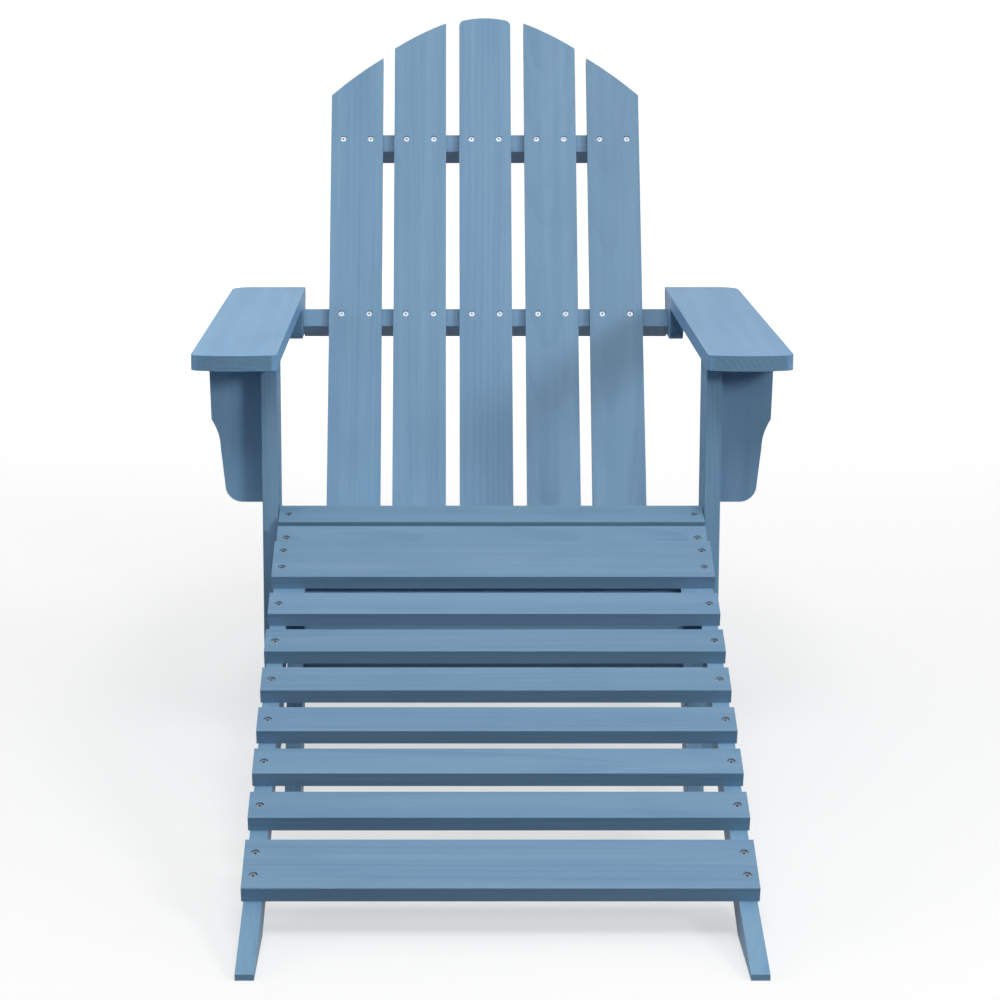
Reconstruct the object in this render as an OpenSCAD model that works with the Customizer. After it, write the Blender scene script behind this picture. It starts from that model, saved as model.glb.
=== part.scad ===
// Adirondack chair with a matching sloped ottoman.
// Slatted softwood boards screwed to side rails. The ottoman stands free in front of the seat.
// X runs across the chair, Y runs from the ottoman tip to the back, Z is up, and z = 0 is the floor.

/* [Arms] */
// Overall width across the two arm boards
chair_w = 700; // [690:1:720]
// Width of one arm board
arm_w = 100; // [92:1:105]
// Height of the arm tops above the floor
arm_h = 484; // [480:1:496]
// Thickness of the arm boards
arm_t = 18; // [16:0.5:20]
// Length of one arm board from front to back
arm_len = 700; // [698:1:740]
// Distance from the ottoman tip to the front of the arms
arm_front = 747; // [740:1:765]

/* [Frame] */
// Thickness of the upright, side rail and leg boards
frame_t = 18; // [17:0.5:18]
// Depth of the front posts from front to back
post_depth = 85; // [75:1:95]
// Distance from the ottoman tip to the front of the posts
post_front = 800; // [795:1:810]
// Reach of an arm bracket outside its post
bracket_w = 63; // [55:1:70]
// Height of the lower edge of the arm brackets
bracket_bottom = 296; // [270:1:305]

/* [Back] */
// Recline of the back from upright, in degrees
recline = 27.7; // [27.2:0.1:28.2]
// Width of one back slat
back_slat_w = 72; // [68:1:73]
// Thickness of the back slats
back_slat_t = 16; // [14:0.5:16]
// Gap on each side of the middle back slat
back_gap_inner = 18.5; // [16:0.5:20]
// Gap between the outer pairs of back slats
back_gap_outer = 16; // [14:0.5:18]
// Length of the middle back slat above the seat line
back_len = 705; // [690:1:715]
// Height of the face of a back rail
back_rail_h = 25; // [22:1:26]
// Depth of the upper two back rails
back_rail_d = 40; // [35:1:42]

/* [Seat] */
// Length of the seat slats and ottoman slats
slat_len = 504; // [500:1:505]
// Thickness of the seat slats and ottoman slats
slat_t = 16; // [15:0.5:16]
// Width of a narrow slat
slat_w = 43.5; // [40:0.5:44]

/* [Ottoman] */
// Width of the wide slats at the two ends of the ottoman
wide_slat_w = 77; // [72:0.5:78]
// Distance between the centres of the narrow ottoman slats, measured level
ottoman_pitch = 70; // [68:0.5:70]
// Lean of the ottoman legs, in degrees
leg_lean = 30; // [28:1:31]

/* [Screws] */
// Diameter of a screw head
screw_head_d = 8; // [7:0.2:8.2]
// Depth of the screw head below the wood surface
screw_sink = 1.6; // [1:0.1:2]

/* [Hidden] */
$fn = 32;

blue = [0.44, 0.58, 0.70];
blue_dark = [0.33, 0.47, 0.58];
zinc = [0.80, 0.82, 0.84];

// side-to-side stations
post_in = 253;                         // inner face of a post, outer face of a side rail
post_out = post_in + frame_t;
rail_in = post_in - frame_t;           // inner face of a side rail
arm_in = chair_w / 2 - arm_w;          // inner edge of an arm
ott_out = 250;                         // outer face of an ottoman rail
ott_in = ott_out - frame_t;            // inner face of an ottoman rail
leg_in = ott_in - frame_t;             // inner face of an ottoman leg
screw_x = 241;                         // slat screws, from the centre line
arm_under = arm_h - arm_t;

// the back's own frame: origin on the front face at the seat line, local z up the slope
back_y = 1250;
back_z = 226;
back_total = back_y + back_len * sin(recline) + back_slat_t * cos(recline);
y_mid = -max(back_total, 1592) / 2;    // moves the tip of the ottoman to the front of the frame
back_low = -95;
arm_rail_v = (arm_under - 6 - back_z + back_slat_t * sin(recline)) / cos(recline) - back_rail_h;
upper_rail_v = 507.5;
base_rail_h = 40;
base_rail_v = -90;

// seat slats: [rear top edge y, rear top edge z, tilt up to the rear]
nose = [776, 278, 27];
crest = [828, 292.7, 15.7];
seat_slope = 12.5;
seat_pitch = 55;
function seat_row(i) = [840 + slat_w * cos(seat_slope) + i * seat_pitch,
    287.5 - (slat_w * cos(seat_slope) + i * seat_pitch) * tan(seat_slope), -seat_slope];

// ottoman slats lie on the straight upper edge of its rails
ott_k = 0.368;
ott_slope = atan(ott_k);
ott_top0 = 8.84;
function ott_top(y) = ott_top0 + ott_k * y;
function ott_seat(y) = ott_top(y) - slat_t / cos(ott_slope);
function ott_row(mid, w) = [mid + w * cos(ott_slope) / 2, ott_top(mid + w * cos(ott_slope) / 2), ott_slope];
ott_rear_mid = 680;
ott_front_mid = 152;
ott_first_mid = 592;

function wide_cols(w) = [-w * 0.26, -w * 0.72];

module at_row(r) { translate([0, r[0], r[1]]) rotate([r[2], 0, 0]) children(); }
module at_back() { translate([0, back_y, back_z]) rotate([-recline, 0, 0]) children(); }

// a board cut to an outline seen from the side, spanning x0 to x0 + t
module side_board(pts, x0, t) { translate([x0, 0, 0]) rotate([90, 0, 90]) linear_extrude(t) polygon(pts); }

// countersunk wood screw, its head at the wood surface and its shank down -Z
module wood_screw(len = 32) {
    head = 1.6;
    difference() {
        union() {
            translate([0, 0, -screw_sink - head]) cylinder(r = screw_head_d / 2, h = head);
            translate([0, 0, -len]) cylinder(r = 1.8, h = len - screw_sink - head / 2);
        }
        translate([0, 0, -screw_sink - 1.2]) cylinder(r = 1.5, h = 2);
    }
}
// clearance cut for that screw in the board under its head
module screw_seat(through) {
    translate([0, 0, -screw_sink - 1.6]) cylinder(r = 4.3, h = 6);
    translate([0, 0, -through - 1]) cylinder(r = 2.1, h = through + 1);
}
// pilot hole for that screw in the board it bites into
module screw_pilot(len = 33) { translate([0, 0, -len]) cylinder(r = 1.9, h = len + 2); }

// ---------- slats ----------
module slat(w, cols) {
    difference() {
        translate([-slat_len / 2, -w, -slat_t]) cube([slat_len, w, slat_t]);
        for (x = [-screw_x, screw_x], y = cols) translate([x, y, 0]) screw_seat(slat_t);
    }
}
module slat_screws(cols) { for (x = [-screw_x, screw_x], y = cols) translate([x, y, 0]) wood_screw(); }
module slat_pilots(cols, side) { for (y = cols) translate([side * screw_x, y, 0]) screw_pilot(); }

// ---------- chair frame ----------
seat_z0 = 287.5;
tn = tan(seat_slope);
function line_z(p, a, y) = p[1] + tan(a) * (y - p[0]);
nose_under = [nose[0] + slat_t * sin(nose[2]), nose[1] - slat_t * cos(nose[2])];
crest_under = [crest[0] + slat_t * sin(crest[2]), crest[1] - slat_t * cos(crest[2])];
seat_under = [840 - slat_t * sin(seat_slope), seat_z0 - slat_t * cos(seat_slope)];
// where two straight runs of the rail's upper edge meet
function meet_y(p, a, q, b) = (q[1] - p[1] + tan(a) * p[0] - tan(b) * q[0]) / (tan(a) - tan(b));
ya = meet_y(nose_under, nose[2], crest_under, crest[2]);
yb = meet_y(crest_under, crest[2], seat_under, -seat_slope);
rail_outline = [
    [737, line_z(nose_under, nose[2], 737)],
    [ya, line_z(nose_under, nose[2], ya)],
    [yb, line_z(crest_under, crest[2], yb)],
    [1262, line_z(seat_under, -seat_slope, 1262)],
    [1330, 151], [1420, 112], [1500, 68], [1555, 30], [1588, 0],
    [1500, 0], [1462, 22], [1380, 56], [1290, 83], [1200, 103], [1080, 128],
    [950, 156], [850, 177], [780, 189], [748, 200], [733, 218]];

module side_rail(side) {
    color(blue_dark) difference() {
        side_board(rail_outline, side > 0 ? rail_in : -post_in, frame_t);
        at_row(nose) slat_pilots([-slat_w / 2], side);
        at_row(crest) slat_pilots([-slat_w / 2], side);
        for (i = [0:6]) at_row(seat_row(i)) slat_pilots([-slat_w / 2], side);
        post_screw_places(side) screw_pilot(33);
    }
}

// two screws through each post from outside, into the side rail
module post_screw_places(side) {
    for (p = [[post_front + 24, 205], [post_front + 60, 240]])
        translate([side * post_out, p[0], p[1]]) rotate([0, side * 90, 0]) children();
}
// two screws through each post from inside, into the bracket's edge
module bracket_screw_places(side) {
    for (z = [arm_under - 14, arm_under - 130])
        translate([side * post_in, post_front + 44, z]) rotate([0, -side * 90, 0]) children();
}
// one screw through each cleat into the end of the arm back rail
module cleat_screw_places(side) {
    at_back() translate([side * (arm_in + frame_t), back_slat_t + back_rail_d / 2, arm_rail_v + back_rail_h / 2])
        rotate([0, side * 90, 0]) children();
}

module front_post(side) {
    color(blue) difference() {
        translate([side > 0 ? post_in : -post_out, post_front, 0]) cube([frame_t, post_depth, arm_under]);
        post_screw_places(side) screw_seat(frame_t);
        bracket_screw_places(side) screw_seat(frame_t);
    }
}

// flat bracket with a stepped, curved outer edge, facing forwards outside the post
function bracket_edge(z_hi, z_lo) = [for (i = [0:10]) let (u = i / 10)
    [post_out + bracket_w - 1 - 10.5 * (1 - (1 - u) * (1 - u)), z_hi - u * (z_hi - z_lo)]];
module arm_bracket(side) {
    r = 20;
    x1 = post_out + bracket_w;
    pts = concat([[post_out, bracket_bottom], [post_out, arm_under], [x1 + 1, arm_under], [x1 - 1, 397]],
        bracket_edge(396, 362),
        [for (i = [0:6]) let (a = i * 15) [x1 - 16.5 - r + r * cos(a), bracket_bottom + r - r * sin(a)]]);
    color(blue_dark) difference() {
        translate([0, post_front + 35 + frame_t, 0]) rotate([90, 0, 0]) linear_extrude(frame_t)
            mirror([side > 0 ? 0 : 1, 0]) polygon(pts);
        bracket_screw_places(side) screw_pilot(33);
    }
}

// arm board: a rounded front edge and a large radius at the outer rear corner
module arm_outline() {
    x0 = arm_in; x1 = chair_w / 2;
    bow = 5;
    rf = 14; ri = 10; rr = 26;
    w = x1 - x0;
    polygon(concat(
        [for (i = [0:6]) let (a = 180 + i * 15) [x0 + ri + ri * cos(a), arm_front + bow + ri + ri * sin(a)]],
        [for (i = [1:7]) let (u = i / 8) [x0 + ri + u * (w - ri - rf), arm_front + bow - 4 * bow * u * (1 - u)]],
        [for (i = [0:6]) let (a = 270 + i * 15) [x1 - rf + rf * cos(a), arm_front + bow + rf + rf * sin(a)]],
        [for (i = [0:6]) let (a = i * 15) [x1 - rr + rr * cos(a), arm_front + arm_len - rr + rr * sin(a)]],
        [[x0, arm_front + arm_len]]));
}
module arm(side) {
    color([0.54, 0.67, 0.81]) translate([0, 0, arm_under]) linear_extrude(arm_t)
        mirror([side > 0 ? 0 : 1, 0]) arm_outline();
}

// cleat hanging under the rear of each arm, with rounded lower corners
module arm_cleat(side) {
    r = 14; y0 = 1338; y1 = 1442; z0 = arm_under - 42;
    pts = concat([[y0, arm_under], [y1, arm_under]],
        [for (i = [0:6]) let (a = -i * 15) [y1 - r + r * cos(a), z0 + r + r * sin(a)]],
        [for (i = [0:6]) let (a = -90 - i * 15) [y0 + r + r * cos(a), z0 + r + r * sin(a)]]);
    color(blue_dark) difference() {
        side_board(pts, side > 0 ? arm_in : -arm_in - frame_t, frame_t);
        cleat_screw_places(side) screw_seat(frame_t);
    }
}

// ---------- back ----------
half = back_slat_w / 2;
x_inner = half + back_gap_inner;
x_outer = x_inner + back_slat_w + back_gap_outer;
back_half_w = x_outer + back_slat_w;
// two screws across each slat at a rail: offset from the slat's centre
screw_pair = [-19, 19];
rail_heights = [upper_rail_v + back_rail_h / 2, arm_rail_v + back_rail_h / 2, base_rail_v + base_rail_h / 2];

// one back slat between x0 and x1, with its top running from height va to vb along a shallow arc
module back_slat(x0, x1, va, vb, bulge) {
    w = x1 - x0;
    pts = concat([[x0, back_low], [x1, back_low]],
        [for (i = [0:12]) let (u = i / 12) [x1 - u * w, vb + (va - vb) * u + 4 * bulge * u * (1 - u)]]);
    color(blue) at_back() difference() {
        translate([0, back_slat_t, 0]) rotate([90, 0, 0]) linear_extrude(back_slat_t) polygon(pts);
        for (v = rail_heights, dx = screw_pair)
            translate([(x0 + x1) / 2 + dx, 0, v]) rotate([90, 0, 0]) screw_seat(back_slat_t);
    }
}
// middle slat: nearly square top with rounded corners
module back_slat_middle() {
    r = 9; v1 = back_len - 3;
    pts = concat([[-half, back_low], [half, back_low]],
        [for (i = [0:6]) let (a = i * 15) [half - r + r * cos(a), v1 - r + r * sin(a)]],
        [for (i = [1:5]) let (u = i / 6) [(half - r) * (1 - 2 * u), v1 + 4 * 3 * u * (1 - u)]],
        [for (i = [0:6]) let (a = 90 + i * 15) [-half + r + r * cos(a), v1 - r + r * sin(a)]]);
    color(blue) at_back() difference() {
        translate([0, back_slat_t, 0]) rotate([90, 0, 0]) linear_extrude(back_slat_t) polygon(pts);
        for (v = rail_heights, dx = screw_pair)
            translate([dx, 0, v]) rotate([90, 0, 0]) screw_seat(back_slat_t);
    }
}
// heights of the slat tops on each side of the middle slat
inner_hi = back_len - 8;
inner_lo = back_len - 47;
outer_hi = back_len - 62;
outer_lo = back_len - 119;

slat_centres = [-x_outer - half, -x_inner - half, 0, x_inner + half, x_outer + half];
module back_screw_places(v) {
    at_back() for (c = slat_centres, dx = screw_pair) translate([c + dx, 0, v]) rotate([90, 0, 0]) children();
}
module back_rail(hw, v, h, d) {
    color(blue_dark) difference() {
        at_back() translate([-hw, back_slat_t, v]) cube([2 * hw, d, h]);
        back_screw_places(v + h / 2) screw_pilot(33);
    }
}

// ---------- ottoman ----------
ott_tail = ott_rear_mid + wide_slat_w * cos(ott_slope) / 2;
ott_outline = [[0, 0], [0, 6], [118, ott_seat(118)], [ott_tail, ott_seat(ott_tail)],
    [ott_tail + 4, ott_seat(ott_tail) - 12], [ott_tail - 4, ott_seat(ott_tail - 4) - 47], [127, 0]];
module ottoman_rail(side) {
    color(blue) difference() {
        side_board(ott_outline, side > 0 ? ott_in : -ott_out, frame_t);
        at_row(ott_row(ott_rear_mid, wide_slat_w)) slat_pilots(wide_cols(wide_slat_w), side);
        at_row(ott_row(ott_front_mid, wide_slat_w)) slat_pilots(wide_cols(wide_slat_w), side);
        for (i = [0:5]) at_row(ott_row(ott_first_mid - i * ottoman_pitch, slat_w)) slat_pilots([-slat_w / 2], side);
        leg_screw_places(side) screw_pilot(28);
    }
}
// legs lean forwards as they go down; their tops follow the rail's upper edge
leg_foot = 504;
leg_w = 62;
function leg_top(y0) = let (z = (ott_seat(0) + ott_k * y0) / (1 - ott_k * tan(leg_lean))) [y0 + z * tan(leg_lean), z];
leg_outline = [[leg_foot, 0], leg_top(leg_foot), leg_top(leg_foot + leg_w), [leg_foot + leg_w, 0]];
module ottoman_leg(side) {
    color(blue_dark) difference() {
        side_board(leg_outline, side > 0 ? leg_in : -ott_in, frame_t);
        leg_screw_places(side) screw_seat(frame_t);
        apron_screw_places(side) screw_seat(frame_t);
    }
}
module leg_screw_places(side) {
    for (p = [[636, 200], [648, 217]])
        translate([side * leg_in, p[0], p[1]]) rotate([0, -side * 90, 0]) children();
}
module apron_frame() { translate([0, 668, 234]) rotate([-leg_lean, 0, 0]) children(); }
module ottoman_apron() {
    color(blue_dark) difference() {
        apron_frame() translate([-leg_in, 0, -118]) cube([2 * leg_in, frame_t, 118]);
        for (s = [-1, 1]) apron_screw_places(s) screw_pilot(33);
    }
}
module apron_screw_places(side) {
    for (v = [-90, -106])
        apron_frame() translate([side * ott_in, frame_t / 2, v]) rotate([0, side * 90, 0]) children();
}

module placed() { translate([0, y_mid, 0]) children(); }

placed() arm(-1);  // arm_left
placed() arm(1);  // arm_right
placed() front_post(-1);  // front_post_left
placed() front_post(1);  // front_post_right
placed() arm_bracket(-1);  // arm_bracket_left
placed() arm_bracket(1);  // arm_bracket_right
placed() side_rail(-1);  // side_rail_left
placed() side_rail(1);  // side_rail_right
placed() arm_cleat(-1);  // arm_cleat_left
placed() arm_cleat(1);  // arm_cleat_right
placed() back_rail(back_half_w - 2, upper_rail_v, back_rail_h, back_rail_d);  // upper_back_rail
placed() arm_back_rail();
placed() back_rail(rail_in, base_rail_v, base_rail_h, 20);  // back_base_rail
placed() back_slat(-x_outer - back_slat_w, -x_outer, outer_lo, outer_hi, 2.5);  // back_slat_outer_left
placed() back_slat(-x_inner - back_slat_w, -x_inner, inner_lo, inner_hi, 2.5);  // back_slat_inner_left
placed() back_slat_middle();
placed() back_slat(x_inner, x_inner + back_slat_w, inner_hi, inner_lo, 2.5);  // back_slat_inner_right
placed() back_slat(x_outer, x_outer + back_slat_w, outer_hi, outer_lo, 2.5);  // back_slat_outer_right
placed() color(blue) at_row(nose) slat(slat_w, [-slat_w / 2]);  // seat_nose_slat
placed() color(blue) at_row(crest) slat(slat_w, [-slat_w / 2]);  // seat_crest_slat
placed() seat_slat(0);  // seat_slat_1
placed() seat_slat(1);  // seat_slat_2
placed() seat_slat(2);  // seat_slat_3
placed() seat_slat(3);  // seat_slat_4
placed() seat_slat(4);  // seat_slat_5
placed() seat_slat(5);  // seat_slat_6
placed() seat_slat(6);  // seat_slat_7
placed() back_screws();
placed() seat_screws();
placed() color(zinc) for (s = [-1, 1]) post_screw_places(s) wood_screw();  // post_screws
placed() color(zinc) for (s = [-1, 1]) bracket_screw_places(s) wood_screw();  // bracket_screws
placed() color(zinc) for (s = [-1, 1]) cleat_screw_places(s) wood_screw(45);  // cleat_screws
placed() ottoman_rail(-1);  // ottoman_rail_left
placed() ottoman_rail(1);  // ottoman_rail_right
placed() ottoman_leg(-1);  // ottoman_leg_left
placed() ottoman_leg(1);  // ottoman_leg_right
placed() ottoman_apron();
placed() wide_slat(ott_rear_mid);  // ottoman_rear_slat
placed() ottoman_slat(0);  // ottoman_slat_1
placed() ottoman_slat(1);  // ottoman_slat_2
placed() ottoman_slat(2);  // ottoman_slat_3
placed() ottoman_slat(3);  // ottoman_slat_4
placed() ottoman_slat(4);  // ottoman_slat_5
placed() ottoman_slat(5);  // ottoman_slat_6
placed() wide_slat(ott_front_mid);  // ottoman_front_slat
placed() ottoman_slat_screws();
placed() color(zinc) for (s = [-1, 1]) {  // ottoman_leg_screws
    leg_screw_places(s) wood_screw(27);
    apron_screw_places(s) wood_screw();
}

module seat_slat(i) { color(blue) at_row(seat_row(i)) slat(slat_w, [-slat_w / 2]); }
module wide_slat(mid) { color(blue) at_row(ott_row(mid, wide_slat_w)) slat(wide_slat_w, wide_cols(wide_slat_w)); }
module ottoman_slat(i) { color(blue) at_row(ott_row(ott_first_mid - i * ottoman_pitch, slat_w)) slat(slat_w, [-slat_w / 2]); }
module seat_screws() {
    color(zinc) {
        at_row(nose) slat_screws([-slat_w / 2]);
        at_row(crest) slat_screws([-slat_w / 2]);
        for (i = [0:6]) at_row(seat_row(i)) slat_screws([-slat_w / 2]);
    }
}
module ottoman_slat_screws() {
    color(zinc) {
        for (m = [ott_rear_mid, ott_front_mid]) at_row(ott_row(m, wide_slat_w)) slat_screws(wide_cols(wide_slat_w));
        for (i = [0:5]) at_row(ott_row(ott_first_mid - i * ottoman_pitch, slat_w)) slat_screws([-slat_w / 2]);
    }
}
module back_screws() { color(zinc) for (v = rail_heights) back_screw_places(v) wood_screw(); }
// the lower rail runs out past the back to the cleats under the arms
module arm_back_rail() {
    color(blue_dark) difference() {
        at_back() translate([-arm_in, back_slat_t, arm_rail_v]) cube([2 * arm_in, back_rail_d, back_rail_h]);
        back_screw_places(arm_rail_v + back_rail_h / 2) screw_pilot(33);
        for (s = [-1, 1]) cleat_screw_places(s) screw_pilot(46);
    }
}
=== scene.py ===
import math
import random

import bpy
from mathutils import Matrix, Vector


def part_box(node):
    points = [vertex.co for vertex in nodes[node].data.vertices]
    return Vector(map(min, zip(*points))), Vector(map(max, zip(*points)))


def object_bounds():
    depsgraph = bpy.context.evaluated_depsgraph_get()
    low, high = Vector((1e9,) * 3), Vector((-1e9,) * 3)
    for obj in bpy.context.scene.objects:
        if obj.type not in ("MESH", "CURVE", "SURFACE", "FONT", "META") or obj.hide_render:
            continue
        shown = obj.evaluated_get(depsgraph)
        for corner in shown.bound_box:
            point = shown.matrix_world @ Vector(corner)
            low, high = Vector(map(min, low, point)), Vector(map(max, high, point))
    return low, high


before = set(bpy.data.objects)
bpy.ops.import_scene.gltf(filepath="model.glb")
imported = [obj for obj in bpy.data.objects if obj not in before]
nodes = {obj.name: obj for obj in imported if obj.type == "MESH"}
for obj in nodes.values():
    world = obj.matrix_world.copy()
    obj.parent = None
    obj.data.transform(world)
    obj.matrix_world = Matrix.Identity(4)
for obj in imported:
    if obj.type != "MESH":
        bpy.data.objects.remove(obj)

CAD_BOX = [list(map(float, v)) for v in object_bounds()]
rng = random.Random(20543)
scene = bpy.context.scene

# ---------------------------------------------------------------- colours
def lin(r, g, b):
    def f(c):
        c = c / 255.0
        return c / 12.92 if c <= 0.04045 else ((c + 0.055) / 1.055) ** 2.4
    return (f(r), f(g), f(b), 1.0)


# ---------------------------------------------------------------- node helpers
class Tree:
    def __init__(self, tree):
        self.t = tree
        self.n = tree.nodes
        self.l = tree.links

    def new(self, kind, **props):
        node = self.n.new(kind)
        for k, v in props.items():
            setattr(node, k, v)
        return node

    def put(self, socket, value):
        if isinstance(value, bpy.types.NodeSocket):
            self.l.new(value, socket)
        else:
            socket.default_value = value

    def math(self, op, a, b=0.0, c=0.0, clamp=False):
        m = self.new("ShaderNodeMath", operation=op, use_clamp=clamp)
        self.put(m.inputs[0], a)
        self.put(m.inputs[1], b)
        if len(m.inputs) > 2:
            self.put(m.inputs[2], c)
        return m.outputs[0]

    def vec(self, op, a, b=None, scale=None):
        m = self.new("ShaderNodeVectorMath", operation=op)
        self.put(m.inputs[0], a)
        if b is not None:
            self.put(m.inputs[1], b)
        if scale is not None:
            self.put(m.inputs["Scale"], scale)
        return m.outputs["Value"] if op in ("DOT_PRODUCT", "LENGTH", "DISTANCE") else m.outputs[0]

    def noise(self, vector, scale, detail=2.0, rough=0.5, distort=0.0):
        m = self.new("ShaderNodeTexNoise")
        m.inputs["Scale"].default_value = scale
        m.inputs["Detail"].default_value = detail
        m.inputs["Roughness"].default_value = rough
        m.inputs["Distortion"].default_value = distort
        self.put(m.inputs["Vector"], vector)
        return m.outputs["Fac"]

    def ramp(self, value, lo, hi, out_lo=0.0, out_hi=1.0, smooth=True):
        m = self.new("ShaderNodeMapRange")
        m.interpolation_type = "SMOOTHSTEP" if smooth else "LINEAR"
        self.put(m.inputs["Value"], value)
        m.inputs["From Min"].default_value = lo
        m.inputs["From Max"].default_value = hi
        m.inputs["To Min"].default_value = out_lo
        m.inputs["To Max"].default_value = out_hi
        return m.outputs["Result"]

    def mix(self, fac, a, b, blend="MIX"):
        m = self.new("ShaderNodeMix", data_type="RGBA", blend_type=blend)
        self.put(m.inputs[0], fac)
        self.put(m.inputs[6], a)
        self.put(m.inputs[7], b)
        return m.outputs[2]

    def xyz(self, vector):
        m = self.new("ShaderNodeSeparateXYZ")
        self.put(m.inputs[0], vector)
        return m.outputs

    def join(self, x, y, z):
        m = self.new("ShaderNodeCombineXYZ")
        self.put(m.inputs[0], x)
        self.put(m.inputs[1], y)
        self.put(m.inputs[2], z)
        return m.outputs[0]


# ---------------------------------------------------------------- wood
# One stained fir board. `grain` is the board's long direction, `face` the normal of its broad face,
# both in the shared frame; `centre` is the board's middle. Growth rings are cut from a log whose
# pith lies at (pith_v, pith_w) from the board, so the broad face shows straight or cathedral grain.
def board_material(name, grain, face, centre, seed, pith_v, pith_w, tilt_v, tilt_w, tint, ring=0.0034, knots=()):
    mat = bpy.data.materials.new(name)
    mat.use_nodes = True
    T = Tree(mat.node_tree)
    for n in list(T.n):
        T.n.remove(n)
    out = T.new("ShaderNodeOutputMaterial")
    bsdf = T.new("ShaderNodeBsdfPrincipled")
    T.l.new(bsdf.outputs[0], out.inputs[0])
    r = random.Random(seed)

    g = Vector(grain).normalized()
    f = Vector(face).normalized()
    v = f.cross(g).normalized()
    coord = T.new("ShaderNodeTexCoord").outputs["Object"]
    rel = T.vec("SUBTRACT", coord, tuple(centre))
    u = T.vec("DOT_PRODUCT", rel, tuple(g))
    vv = T.vec("DOT_PRODUCT", rel, tuple(v))
    w = T.vec("DOT_PRODUCT", rel, tuple(f))
    off = (r.uniform(-9, 9), r.uniform(-9, 9), r.uniform(-9, 9))
    board = T.vec("ADD", T.join(u, vv, w), off)

    # slow wander of the grain, much longer along the board than across it
    wander = T.vec("MULTIPLY", board, (1.6, 9.0, 9.0))
    wa = T.math("SUBTRACT", T.noise(wander, 1.0, 2.0, 0.5), 0.5)
    wb = T.math("SUBTRACT", T.noise(T.vec("ADD", wander, (5.2, 3.1, 7.7)), 1.0, 2.0, 0.5), 0.5)
    fine_w = T.math("SUBTRACT", T.noise(T.vec("MULTIPLY", board, (9.0, 60.0, 60.0)), 1.0, 2.0, 0.5), 0.5)

    pv = T.math("ADD", T.math("ADD", vv, T.math("MULTIPLY", u, tilt_v)), T.math("MULTIPLY", wa, 0.012))
    pw = T.math("ADD", T.math("ADD", w, T.math("MULTIPLY", u, tilt_w)), T.math("MULTIPLY", wb, 0.012))
    dv = T.math("SUBTRACT", pv, pith_v)
    dw = T.math("SUBTRACT", pw, pith_w)
    radius = T.math("SQRT", T.math("ADD", T.math("MULTIPLY", dv, dv), T.math("MULTIPLY", dw, dw)))
    radius = T.math("ADD", radius, T.math("MULTIPLY", fine_w, 0.0016))

    knot_mask = None
    for (ku, kv, kr) in knots:
        du = T.math("MULTIPLY", T.math("SUBTRACT", u, ku), 0.62)
        dk = T.math("SUBTRACT", vv, kv)
        d = T.math("SQRT", T.math("ADD", T.math("MULTIPLY", du, du), T.math("MULTIPLY", dk, dk)))
        # rings swell around the knot
        push = T.ramp(d, kr * 0.6, kr * 5.0, 1.0, 0.0)
        radius = T.math("ADD", radius, T.math("MULTIPLY", push, kr * 1.1))
        m = T.ramp(T.math("ADD", d, T.math("MULTIPLY", fine_w, 0.003)), kr * 0.55, kr * 1.15, 1.0, 0.0)
        knot_mask = m if knot_mask is None else T.math("MAXIMUM", knot_mask, m)

    # ring spacing varies a little from year to year
    years = T.math("DIVIDE", radius, ring)
    years = T.math("ADD", years, T.math("MULTIPLY", T.noise(T.join(years, 0.0, off[0]), 0.45, 1.0), 1.6))
    phase = T.math("FRACT", years)
    late = T.math("MULTIPLY", T.ramp(phase, 0.45, 0.93, 0.0, 1.0), T.ramp(phase, 0.95, 1.0, 1.0, 0.0))
    year_id = T.math("FLOOR", years)
    yn = T.new("ShaderNodeTexWhiteNoise", noise_dimensions="1D")
    T.put(yn.inputs["W"], T.math("ADD", year_id, off[1]))
    late = T.math("MULTIPLY", late, T.math("ADD", 0.45, T.math("MULTIPLY", yn.outputs["Value"], 0.55)))

    # fibre: long hairlines, then short dark pores and pale flecks
    fibre = T.noise(T.vec("MULTIPLY", board, (14.0, 900.0, 900.0)), 1.0, 3.0, 0.6)
    fibre2 = T.noise(T.vec("MULTIPLY", board, (50.0, 2600.0, 2600.0)), 1.0, 2.0, 0.6)
    streak = T.noise(T.vec("MULTIPLY", board, (1.5, 52.0, 52.0)), 1.0, 3.0, 0.5)
    blotch = T.noise(T.vec("MULTIPLY", board, (7.0, 22.0, 22.0)), 1.0, 3.0, 0.55)
    pores = T.ramp(T.noise(T.vec("MULTIPLY", board, (95.0, 1500.0, 1500.0)), 1.0, 1.0, 0.5), 0.66, 0.80)
    saw = T.noise(T.vec("MULTIPLY", board, (420.0, 10.0, 10.0)), 1.0, 1.0, 0.5)

    # end grain drinks more stain
    normal = T.new("ShaderNodeNewGeometry").outputs["Normal"]
    end = T.ramp(T.math("ABSOLUTE", T.vec("DOT_PRODUCT", normal, tuple(g))), 0.82, 0.97)
    # rounded arrises, where the stain is rubbed thin
    bev = T.new("ShaderNodeBevel", samples=4)
    bev.inputs["Radius"].default_value = 0.0028
    edge = T.ramp(T.vec("DOT_PRODUCT", bev.outputs[0], normal), 0.80, 0.985, 1.0, 0.0)
    rub = T.math("MULTIPLY", edge, T.ramp(T.noise(T.vec("MULTIPLY", board, (26.0, 90.0, 90.0)), 1.0, 3.0, 0.6), 0.42, 0.66))

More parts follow.
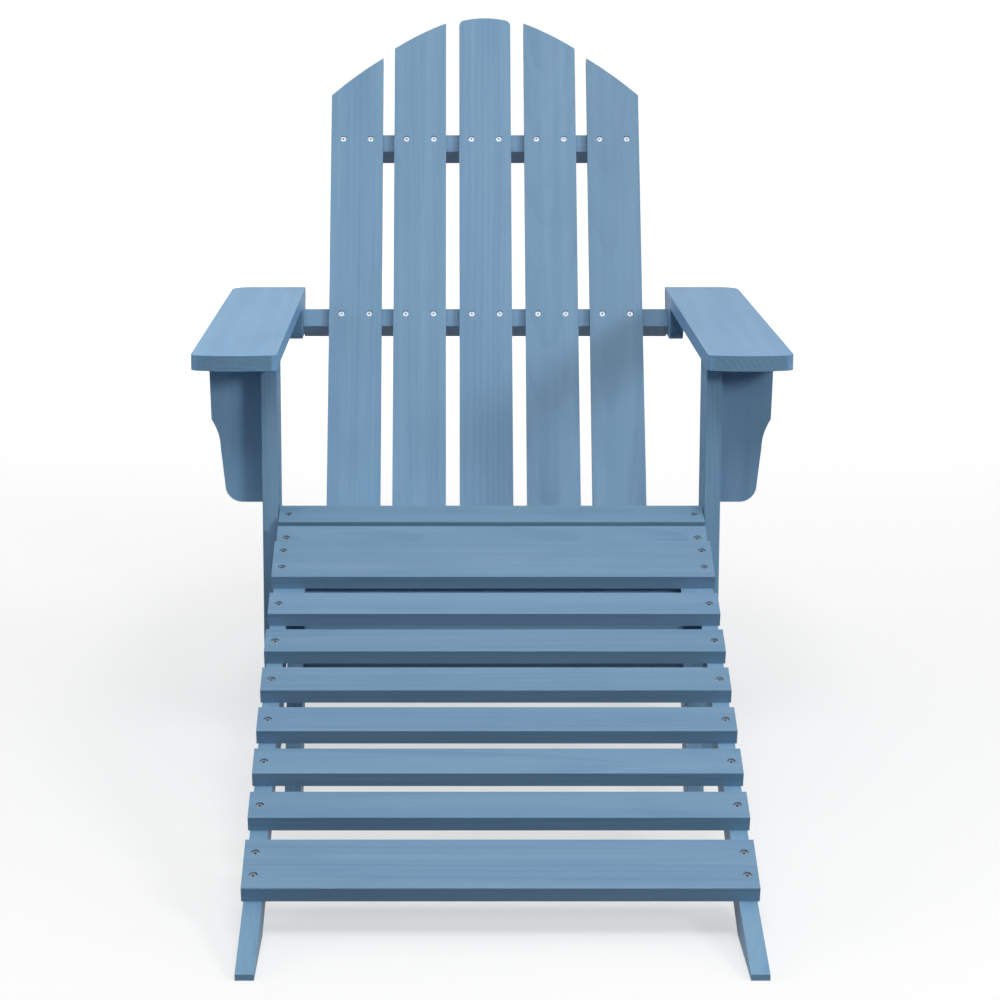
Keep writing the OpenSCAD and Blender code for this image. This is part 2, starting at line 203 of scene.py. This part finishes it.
    tr, tg, tb = tint
    base = (0.180 * tr, 0.338 * tg, 0.508 * tb, 1.0)
    deep = (0.122 * tr, 0.258 * tg, 0.415 * tb, 1.0)
    pale = (0.226 * tr, 0.392 * tg, 0.560 * tb, 1.0)
    col = T.mix(T.math("MULTIPLY", late, 0.52), base, deep)
    col = T.mix(T.ramp(streak, 0.36, 0.66, 0.0, 0.60), col, pale)
    col = T.mix(T.ramp(blotch, 0.46, 0.78, 0.0, 0.30), col, deep)
    col = T.mix(T.ramp(fibre, 0.34, 0.70, 0.22, 0.0), col, deep)
    col = T.mix(T.ramp(fibre2, 0.45, 0.75, 0.0, 0.16), col, pale)
    col = T.mix(T.math("MULTIPLY", pores, 0.24), col, (0.085, 0.185, 0.315, 1.0))
    if knot_mask is not None:
        col = T.mix(T.math("MULTIPLY", knot_mask, 0.38), col, (0.075, 0.150, 0.235, 1.0))
    endcol = T.mix(T.math("MULTIPLY", late, 0.6), (0.150, 0.285, 0.420, 1.0), (0.100, 0.200, 0.310, 1.0))
    endcol = T.mix(T.ramp(T.noise(T.vec("MULTIPLY", board, (900.0, 700.0, 700.0)), 1.0, 2.0, 0.6), 0.40, 0.72, 0.0, 0.35), endcol, (0.07, 0.14, 0.22, 1.0))
    col = T.mix(T.math("MULTIPLY", end, 0.85), col, endcol)
    col = T.mix(T.math("MULTIPLY", rub, 0.30), col, (0.30, 0.44, 0.58, 1.0))
    T.l.new(col, bsdf.inputs["Base Color"])

    rough = T.math("ADD", 0.53, T.math("MULTIPLY", late, -0.07))
    rough = T.math("ADD", rough, T.math("MULTIPLY", T.math("SUBTRACT", fibre, 0.5), 0.16))
    rough = T.math("ADD", rough, T.math("MULTIPLY", end, 0.22))
    rough = T.math("ADD", rough, T.math("MULTIPLY", edge, 0.06))
    T.l.new(rough, bsdf.inputs["Roughness"])
    bsdf.inputs["IOR"].default_value = 1.46
    bsdf.inputs["Specular IOR Level"].default_value = 0.28
    bsdf.inputs["Coat Weight"].default_value = 0.04
    bsdf.inputs["Coat Roughness"].default_value = 0.34

    height = T.math("MULTIPLY", late, 0.55)
    height = T.math("ADD", height, T.math("MULTIPLY", fibre, 0.55))
    height = T.math("ADD", height, T.math("MULTIPLY", fibre2, 0.28))
    height = T.math("SUBTRACT", height, T.math("MULTIPLY", pores, 0.75))
    height = T.math("ADD", height, T.math("MULTIPLY", saw, 0.10))
    bump = T.new("ShaderNodeBump")
    bump.inputs["Strength"].default_value = 0.32
    bump.inputs["Distance"].default_value = 0.0005
    T.l.new(height, bump.inputs["Height"])
    T.l.new(bump.outputs[0], bsdf.inputs["Normal"])
    return mat


def zinc_material():
    mat = bpy.data.materials.new("zinc_plate")
    mat.use_nodes = True
    T = Tree(mat.node_tree)
    bsdf = next(n for n in T.n if n.type == "BSDF_PRINCIPLED")
    coord = T.new("ShaderNodeTexCoord").outputs["Object"]
    spangle = T.noise(coord, 900.0, 3.0, 0.6)
    scratch = T.noise(T.vec("MULTIPLY", coord, (2400.0, 300.0, 300.0)), 1.0, 2.0, 0.6)
    dust = T.noise(coord, 160.0, 3.0, 0.6)
    col = T.mix(T.ramp(spangle, 0.35, 0.70), (0.34, 0.40, 0.46, 1.0), (0.54, 0.59, 0.64, 1.0))
    col = T.mix(T.ramp(dust, 0.55, 0.80, 0.0, 0.6), col, (0.14, 0.20, 0.27, 1.0))
    # painted shade: the drive recess and the rim round the countersink are darkened to near black wherever ambient
    # occlusion finds them enclosed
    recess_painted_shade = T.new("ShaderNodeAmbientOcclusion", samples=8, only_local=False)
    recess_painted_shade.inputs["Distance"].default_value = 0.0034
    col = T.mix(T.ramp(recess_painted_shade.outputs["AO"], 0.26, 0.74, 0.93, 0.0), col, (0.012, 0.030, 0.052, 1.0))
    T.l.new(col, bsdf.inputs["Base Color"])
    T.l.new(T.math("ADD", 0.36, T.math("MULTIPLY", scratch, 0.26)), bsdf.inputs["Roughness"])
    bsdf.inputs["Metallic"].default_value = 0.9
    bump = T.new("ShaderNodeBump")
    bump.inputs["Strength"].default_value = 0.25
    bump.inputs["Distance"].default_value = 0.0002
    T.l.new(T.math("ADD", scratch, spangle), bump.inputs["Height"])
    T.l.new(bump.outputs[0], bsdf.inputs["Normal"])
    return mat


# ---------------------------------------------------------------- directions
RECLINE = math.radians(27.7)
UP_BACK = (0.0, math.sin(RECLINE), math.cos(RECLINE))
N_BACK = (0.0, -math.cos(RECLINE), math.sin(RECLINE))
SLOPE = math.atan(0.368)
ALONG_OTT = (0.0, math.cos(SLOPE), math.sin(SLOPE))
UP_OTT = (0.0, -math.sin(SLOPE), math.cos(SLOPE))
LEAN = math.radians(30)
ALONG_LEG = (0.0, math.sin(LEAN), math.cos(LEAN))
X, Y, Z = (1.0, 0.0, 0.0), (0.0, 1.0, 0.0), (0.0, 0.0, 1.0)


def tilted(deg):
    a = math.radians(deg)
    return (0.0, -math.sin(a), math.cos(a))


def board_axes(name):
    """long direction and broad face of a board"""
    if name.startswith("arm_left") or name.startswith("arm_right"):
        return Y, Z
    if name.startswith("front_post"):
        return Z, X
    if name.startswith("arm_bracket"):
        return Z, (0.0, -1.0, 0.0)
    if name.startswith("arm_cleat"):
        return Y, X
    if name.startswith("side_rail"):
        return (0.0, math.cos(math.radians(-17)), math.sin(math.radians(-17))), X
    if name.startswith("ottoman_rail"):
        return ALONG_OTT, X
    if name.startswith("ottoman_leg"):
        return ALONG_LEG, X
    if name == "ottoman_apron":
        return X, (0.0, -math.cos(LEAN), math.sin(LEAN))
    if name.startswith("ottoman"):
        return X, UP_OTT
    if name.startswith("back_slat"):
        return UP_BACK, N_BACK
    if name in ("upper_back_rail", "arm_back_rail", "back_base_rail"):
        return X, N_BACK
    if name == "seat_nose_slat":
        return X, tilted(27)
    if name == "seat_crest_slat":
        return X, tilted(15.7)
    return X, tilted(-12.5)


KNOTS = {
    "side_rail_left": [(0.10, 0.01, 0.006)],
    "side_rail_right": [(-0.08, 0.00, 0.005)],
    "seat_slat_3": [(0.09, 0.004, 0.004)],
    "ottoman_apron": [(-0.07, 0.015, 0.004)],
}

# boards made lighter or darker than the rest: the arms are made lighter and bluer all over as painted sheen, the left
# arm bracket is made lighter as painted light over the shadow of the arm, and the other listed slats are simply darker
# in tone
TONE_AND_PAINTED_LIGHT = {"arm_left": (0.98, 1.09, 1.16), "arm_right": (0.98, 1.07, 1.14),
        "arm_bracket_left": (1.28, 1.28, 1.28), "arm_bracket_right": (0.97, 0.99, 1.0),
        "seat_crest_slat": (0.86, 0.87, 0.86), "seat_nose_slat": (0.97, 0.95, 0.95),
        "ottoman_slat_6": (0.86, 0.86, 0.86)}
for name in nodes:
    if name.startswith("ottoman_") and "slat" in name and name not in TONE_AND_PAINTED_LIGHT:
        TONE_AND_PAINTED_LIGHT[name] = (0.94, 0.92, 0.92)

zinc = zinc_material()
for i, name in enumerate(sorted(nodes)):
    obj = nodes[name]
    lo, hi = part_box(name)
    centre = [(a + b) / 2 for a, b in zip(lo, hi)]
    if name.endswith("screws"):
        mat = zinc
        bevel, seg = 0.0004, 2
    else:
        r = random.Random(9000 + i * 77)
        grain, face = board_axes(name)
        # most boards are rift sawn with the pith off to one side; some are flat sawn and show cathedrals
        flat = r.random() < 0.42
        if flat:
            pith_v, pith_w = r.uniform(-0.015, 0.015), r.uniform(-0.10, -0.05)
            tv, tw = r.uniform(-0.012, 0.012), r.choice((-1, 1)) * r.uniform(0.018, 0.05)
        else:
            pith_v, pith_w = r.choice((-1, 1)) * r.uniform(0.05, 0.12), r.uniform(-0.10, -0.02)
            tv, tw = r.uniform(-0.02, 0.02), r.uniform(-0.01, 0.01)
        k = r.uniform(0.955, 1.045)
        tint = (k * r.uniform(0.98, 1.03), k, k * r.uniform(0.985, 1.015))
        # for the arms and the left arm bracket this multiplier is painted sheen and painted light
        if name in TONE_AND_PAINTED_LIGHT:
            tint = tuple(c * k for c, k in zip(tint, TONE_AND_PAINTED_LIGHT[name]))
        mat = board_material("stained_fir_" + name, grain, face, centre, 100 + i, pith_v, pith_w, tv, tw, tint,
                             ring=r.uniform(0.0052, 0.0088), knots=KNOTS.get(name, ()))
        bevel, seg = 0.0016, 3
        if name in ("arm_left", "arm_right"):
            bevel, seg = 0.0030, 4
    obj.data.materials.clear()
    obj.data.materials.append(mat)
    for p in obj.data.polygons:
        p.use_smooth = False
    m = obj.modifiers.new("eased_edges", "BEVEL")
    m.width = bevel
    m.segments = seg
    m.limit_method = "ANGLE"
    m.angle_limit = math.radians(42)
    m.use_clamp_overlap = False
    m.harden_normals = False

# ---------------------------------------------------------------- camera
PITCH = math.radians(10.74)
tip_y = CAD_BOX[0][1]
cam_data = bpy.data.cameras.new("camera")
cam_data.sensor_width = 36.0
cam_data.lens = 2.9 * 36.0
cam_data.shift_x = 0.05
cam_data.clip_end = 300.0
cam = bpy.data.objects.new("camera", cam_data)
scene.collection.objects.link(cam)
cam.location = (-0.049, tip_y - 2.575, 0.945)
cam.rotation_euler = (math.pi / 2 - PITCH, 0.0, 0.0)
scene.camera = cam

# ---------------------------------------------------------------- studio
def floor_material():
    mat = bpy.data.materials.new("studio_floor")
    mat.use_nodes = True
    T = Tree(mat.node_tree)
    bsdf = next(n for n in T.n if n.type == "BSDF_PRINCIPLED")
    coord = T.new("ShaderNodeTexCoord").outputs["Object"]
    col = T.mix(T.noise(coord, 1.3, 2.0), (0.40, 0.403, 0.407, 1.0), (0.42, 0.42, 0.42, 1.0))
    T.l.new(col, bsdf.inputs["Base Color"])
    # the sweep is lit from within its paper, more so towards the far wall, so it reads as one pale field
    back = T.ramp(T.xyz(coord)[1], 0.0, 6.0, 0.56, 0.88)
    back = T.math("ADD", back, T.ramp(T.math("MULTIPLY", T.xyz(coord)[1], -1.0), 3.5, 10.0, 0.0, 0.30))
    bsdf.inputs["Emission Color"].default_value = (1.0, 1.0, 1.0, 1.0)
    T.l.new(back, bsdf.inputs["Emission Strength"])
    bsdf.inputs["Roughness"].default_value = 0.75
    bsdf.inputs["Specular IOR Level"].default_value = 0.2
    return mat


def cyclorama():
    width, front, back, high, r, n = 80.0, -14.0, 9.0, 14.0, 3.0, 24
    prof = [(front, 0.0), (back - r, 0.0)]
    prof += [(back - r + r * math.sin(a), r - r * math.cos(a)) for a in [math.pi / 2 * k / n for k in range(1, n + 1)]]
    prof.append((back, high))
    verts, faces = [], []
    for y, z in prof:
        verts += [(-width, y, z), (width, y, z)]
    for k in range(len(prof) - 1):
        a = 2 * k
        faces.append((a, a + 1, a + 3, a + 2))
    mesh = bpy.data.meshes.new("cyclorama")
    mesh.from_pydata(verts, [], faces)
    for p in mesh.polygons:
        p.use_smooth = True
    o = bpy.data.objects.new("cyclorama", mesh)
    scene.collection.objects.link(o)
    mesh.materials.append(floor_material())
    o.visible_diffuse = False
    return o


# pale wall behind the camera, seen only from the rear; it casts no shadow on the object
def front_wall(material):
    y0, r, n = -13.5, 3.0, 16
    prof = [(y0 + r - r * math.sin(a), 0.004 + r - r * math.cos(a)) for a in [math.pi / 2 * k / n for k in range(n + 1)]]
    prof.append((y0, 14.0))
    verts = [(x, y, z) for y, z in prof for x in (-80.0, 80.0)]
    mesh = bpy.data.meshes.new("front_wall")
    mesh.from_pydata(verts, [], [(2 * k, 2 * k + 1, 2 * k + 3, 2 * k + 2) for k in range(len(prof) - 1)])
    o = bpy.data.objects.new("front_wall", mesh)
    scene.collection.objects.link(o)
    mesh.materials.append(material)
    o.visible_diffuse = False
    o.visible_shadow = False


front_wall(cyclorama().data.materials[0])


def softbox(name, loc, target, size, power, size_y=None):
    data = bpy.data.lights.new(name, "AREA")
    data.energy = power
    data.size = size
    if size_y:
        data.shape = "RECTANGLE"
        data.size_y = size_y
    o = bpy.data.objects.new(name, data)
    scene.collection.objects.link(o)
    o.location = loc
    o.rotation_euler = (Vector(target) - Vector(loc)).to_track_quat("-Z", "Y").to_euler()
    return o


softbox("key", (0.2, -2.3, 4.75), (0.0, 0.1, 0.35), 2.6, 112.0, 2.2)
softbox("front_right", (2.4, -3.5, 1.75), (0.0, 0.1, 0.35), 0.9, 60.0, 0.7)
softbox("top", (0.0, 0.6, 4.6), (0.0, 0.2, 0.3), 3.2, 12.0, 3.2)
# weak fills, so that the sides and the back read from other angles
for fill in (softbox("fill_left", (-4.2, -0.2, 1.8), (0.0, 0.1, 0.35), 2.4, 42.0, 2.0),
             softbox("fill_right", (4.2, 0.6, 1.8), (0.0, 0.1, 0.35), 2.4, 30.0, 2.0),
             softbox("fill_back", (-0.6, 5.0, 2.2), (0.0, 0.2, 0.45), 2.4, 48.0, 2.0)):
    fill.visible_glossy = False

world = bpy.data.worlds.new("studio")
scene.world = world
world.use_nodes = True
WT = Tree(world.node_tree)
bg = next(n for n in WT.n if n.type == "BACKGROUND")
direction = WT.xyz(WT.new("ShaderNodeTexCoord").outputs["Generated"])[2]
sky = WT.mix(WT.ramp(direction, -0.25, 0.65), (0.03, 0.12, 0.20, 1.0), (1.0, 1.0, 1.0, 1.0))
WT.l.new(sky, bg.inputs["Color"])
bg.inputs["Strength"].default_value = 0.27

scene.view_settings.view_transform = "Standard"
scene.view_settings.look = "None"
scene.view_settings.exposure = 0.0
